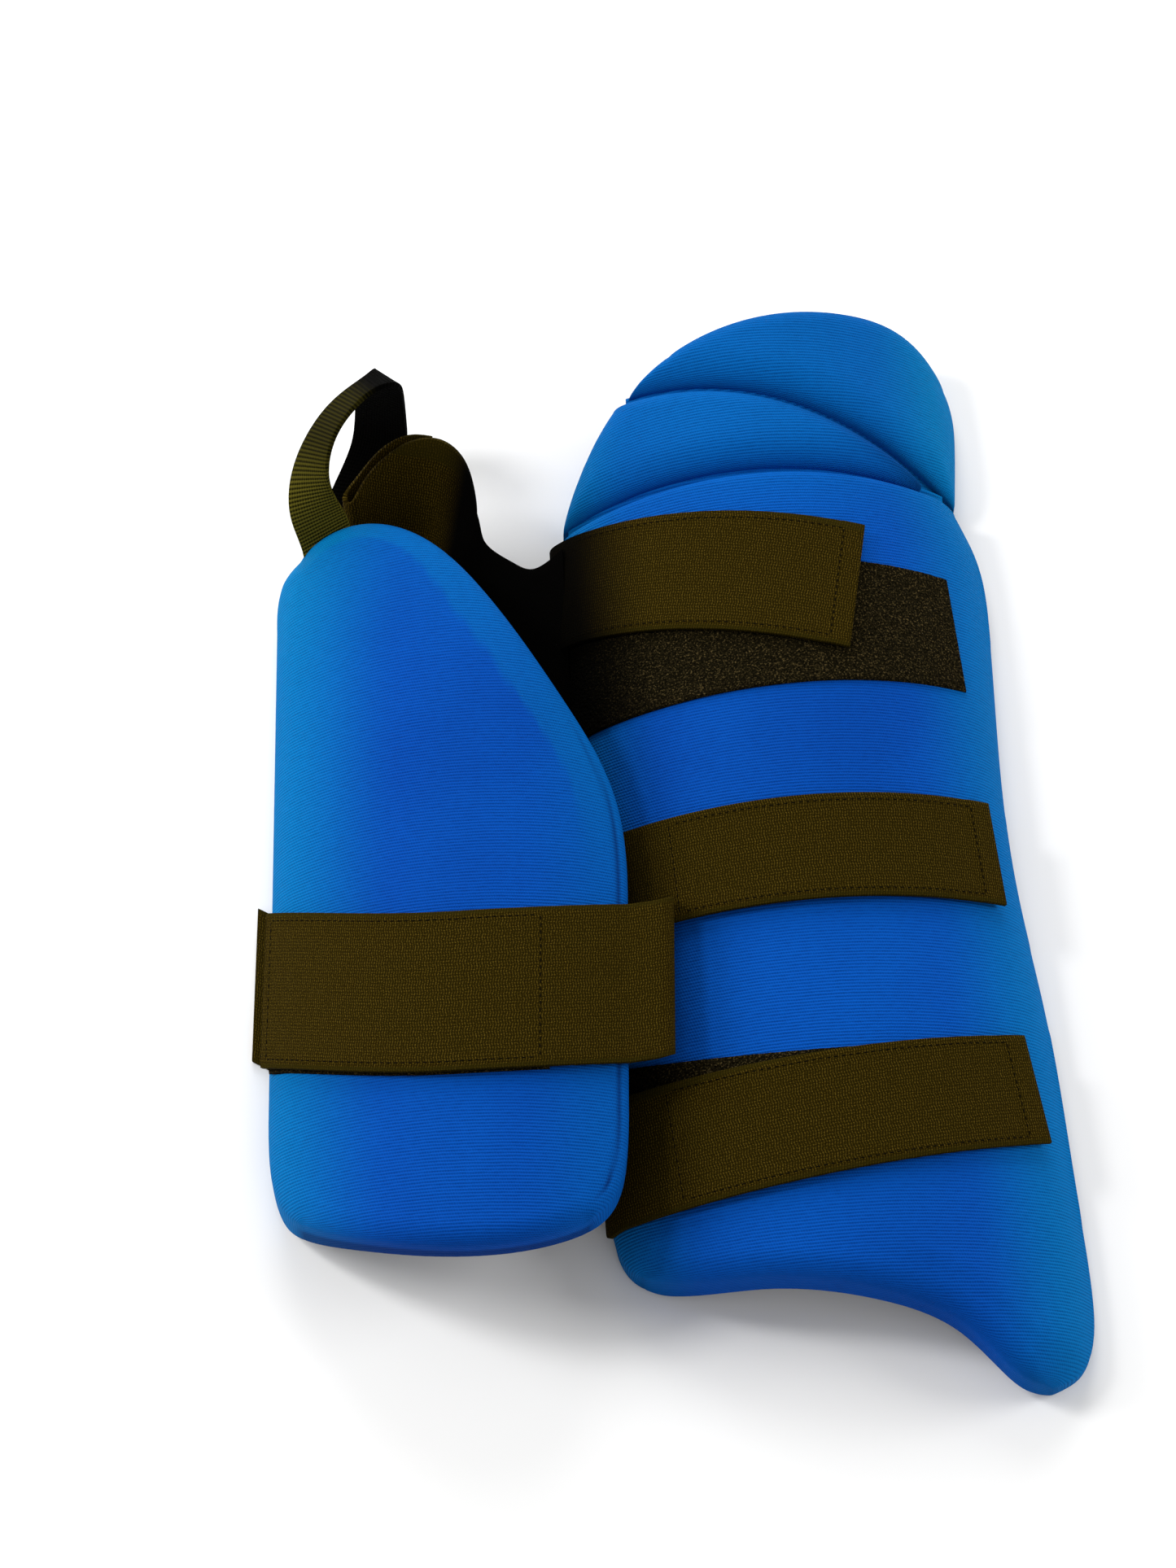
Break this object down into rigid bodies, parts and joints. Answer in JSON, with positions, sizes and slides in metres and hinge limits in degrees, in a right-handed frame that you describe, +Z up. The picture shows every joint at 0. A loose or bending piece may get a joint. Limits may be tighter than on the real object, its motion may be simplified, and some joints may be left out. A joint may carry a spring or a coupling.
{
  "type": "dual thigh guard",
  "caption": "Pair of domed padded thigh guards on elastic hook-and-loop straps: large outer pad with folding hip tiers, smaller inner pad hung on the waist belt.",
  "frame": {"origin": "on the floor under the middle of the pair", "axes": "+Z up through the domed faces, +Y towards the hip end of the pads, +X towards the outer pad"},
  "size_m": [0.292, 0.4132, 0.0611],
  "materials": {
    "pad_cover": "ribbed stretch knit, soft sheen",
    "towel_lining": "towelling",
    "impact_foam": "moulded closed-cell foam",
    "comfort_foam": "soft open-cell foam",
    "loop_tape": "fuzzy loop pile",
    "hook_tape": "moulded hooks",
    "elastic": "woven elastic",
    "webbing": "ribbed webbing"
  },
  "bodies": {
    "outer_pad": {"bottom_loop_tape": "loop_tape", "bottom_strap_band": "elastic", "hip_lower_web": "pad_cover", "middle_loop_tape": "loop_tape", "middle_strap_band": "elastic", "outer_main_back_lining": "towel_lining", "outer_main_comfort_foam": "comfort_foam", "outer_main_cover": "pad_cover", "outer_main_impact_foam": "impact_foam", "top_loop_tape": "loop_tape", "waist_belt_band": "elastic"},
    "hip_mid": {"hip_mid_back_lining": "towel_lining", "hip_mid_comfort_foam": "comfort_foam", "hip_mid_cover": "pad_cover", "hip_mid_impact_foam": "impact_foam", "hip_upper_web": "pad_cover"},
    "hip_cap": {"hip_cap_back_lining": "towel_lining", "hip_cap_comfort_foam": "comfort_foam", "hip_cap_cover": "pad_cover", "hip_cap_impact_foam": "impact_foam"},
    "waist_belt_end": {"waist_belt_tab": "elastic", "waist_belt_hook_patch": "hook_tape"},
    "middle_strap_end": {"middle_strap_tab": "elastic", "middle_strap_hook_patch": "hook_tape"},
    "bottom_strap_end": {"bottom_strap_tab": "elastic", "bottom_strap_hook_patch": "hook_tape"},
    "inner_pad": {"inner_cover": "pad_cover", "inner_back_lining": "towel_lining", "inner_comfort_foam": "comfort_foam", "inner_impact_foam": "impact_foam", "inner_loop_tape": "loop_tape", "inner_strap_band": "elastic", "belt_webbing_loop": "webbing", "waist_belt_link": "elastic"},
    "inner_strap_end": {"inner_strap_tab": "elastic", "inner_strap_hook_patch": "hook_tape"}
  },
  "joints": [
    {"name": "hip_lower_flex", "type": "hinge", "parent": "outer_pad", "child": "hip_mid", "pos_m": [0.03971, 0.1301, 0.02804], "axis": [0.9971, 0.0767, 0], "range_deg": [0, 14]},
    {"name": "hip_upper_flex", "type": "hinge", "parent": "hip_mid", "child": "hip_cap", "pos_m": [0.04489, 0.15407, 0.02926], "axis": [0.9745, -0.2242, 0], "range_deg": [0, 12]},
    {"name": "waist_belt_peel", "type": "hinge", "parent": "outer_pad", "child": "waist_belt_end", "pos_m": [-0.00776, 0.09532, 0.03857], "axis": [0.0767, -0.9969, -0.0196], "range_deg": [0, 60]},
    {"name": "middle_strap_peel", "type": "hinge", "parent": "outer_pad", "child": "middle_strap_end", "pos_m": [0.01539, -0.02305, 0.04103], "axis": [0.0767, -0.9966, -0.0295], "range_deg": [0, 60]},
    {"name": "bottom_strap_peel", "type": "hinge", "parent": "outer_pad", "child": "bottom_strap_end", "pos_m": [0.00534, -0.1271, 0.03181], "axis": [0.0767, -0.9968, -0.0243], "range_deg": [0, 50]},
    {"name": "inner_strap_peel", "type": "hinge", "parent": "inner_pad", "child": "inner_strap_end", "pos_m": [-0.03549, -0.07831, 0.05753], "axis": [0, 1, 0], "range_deg": [0, 60]},
    {"name": "inner_pad_swing", "type": "hinge", "parent": "outer_pad", "child": "inner_pad", "pos_m": [-0.04579, 0.11469, 0.01875], "axis": [-1, 0, 0], "range_deg": [0, 50]}
  ]
}
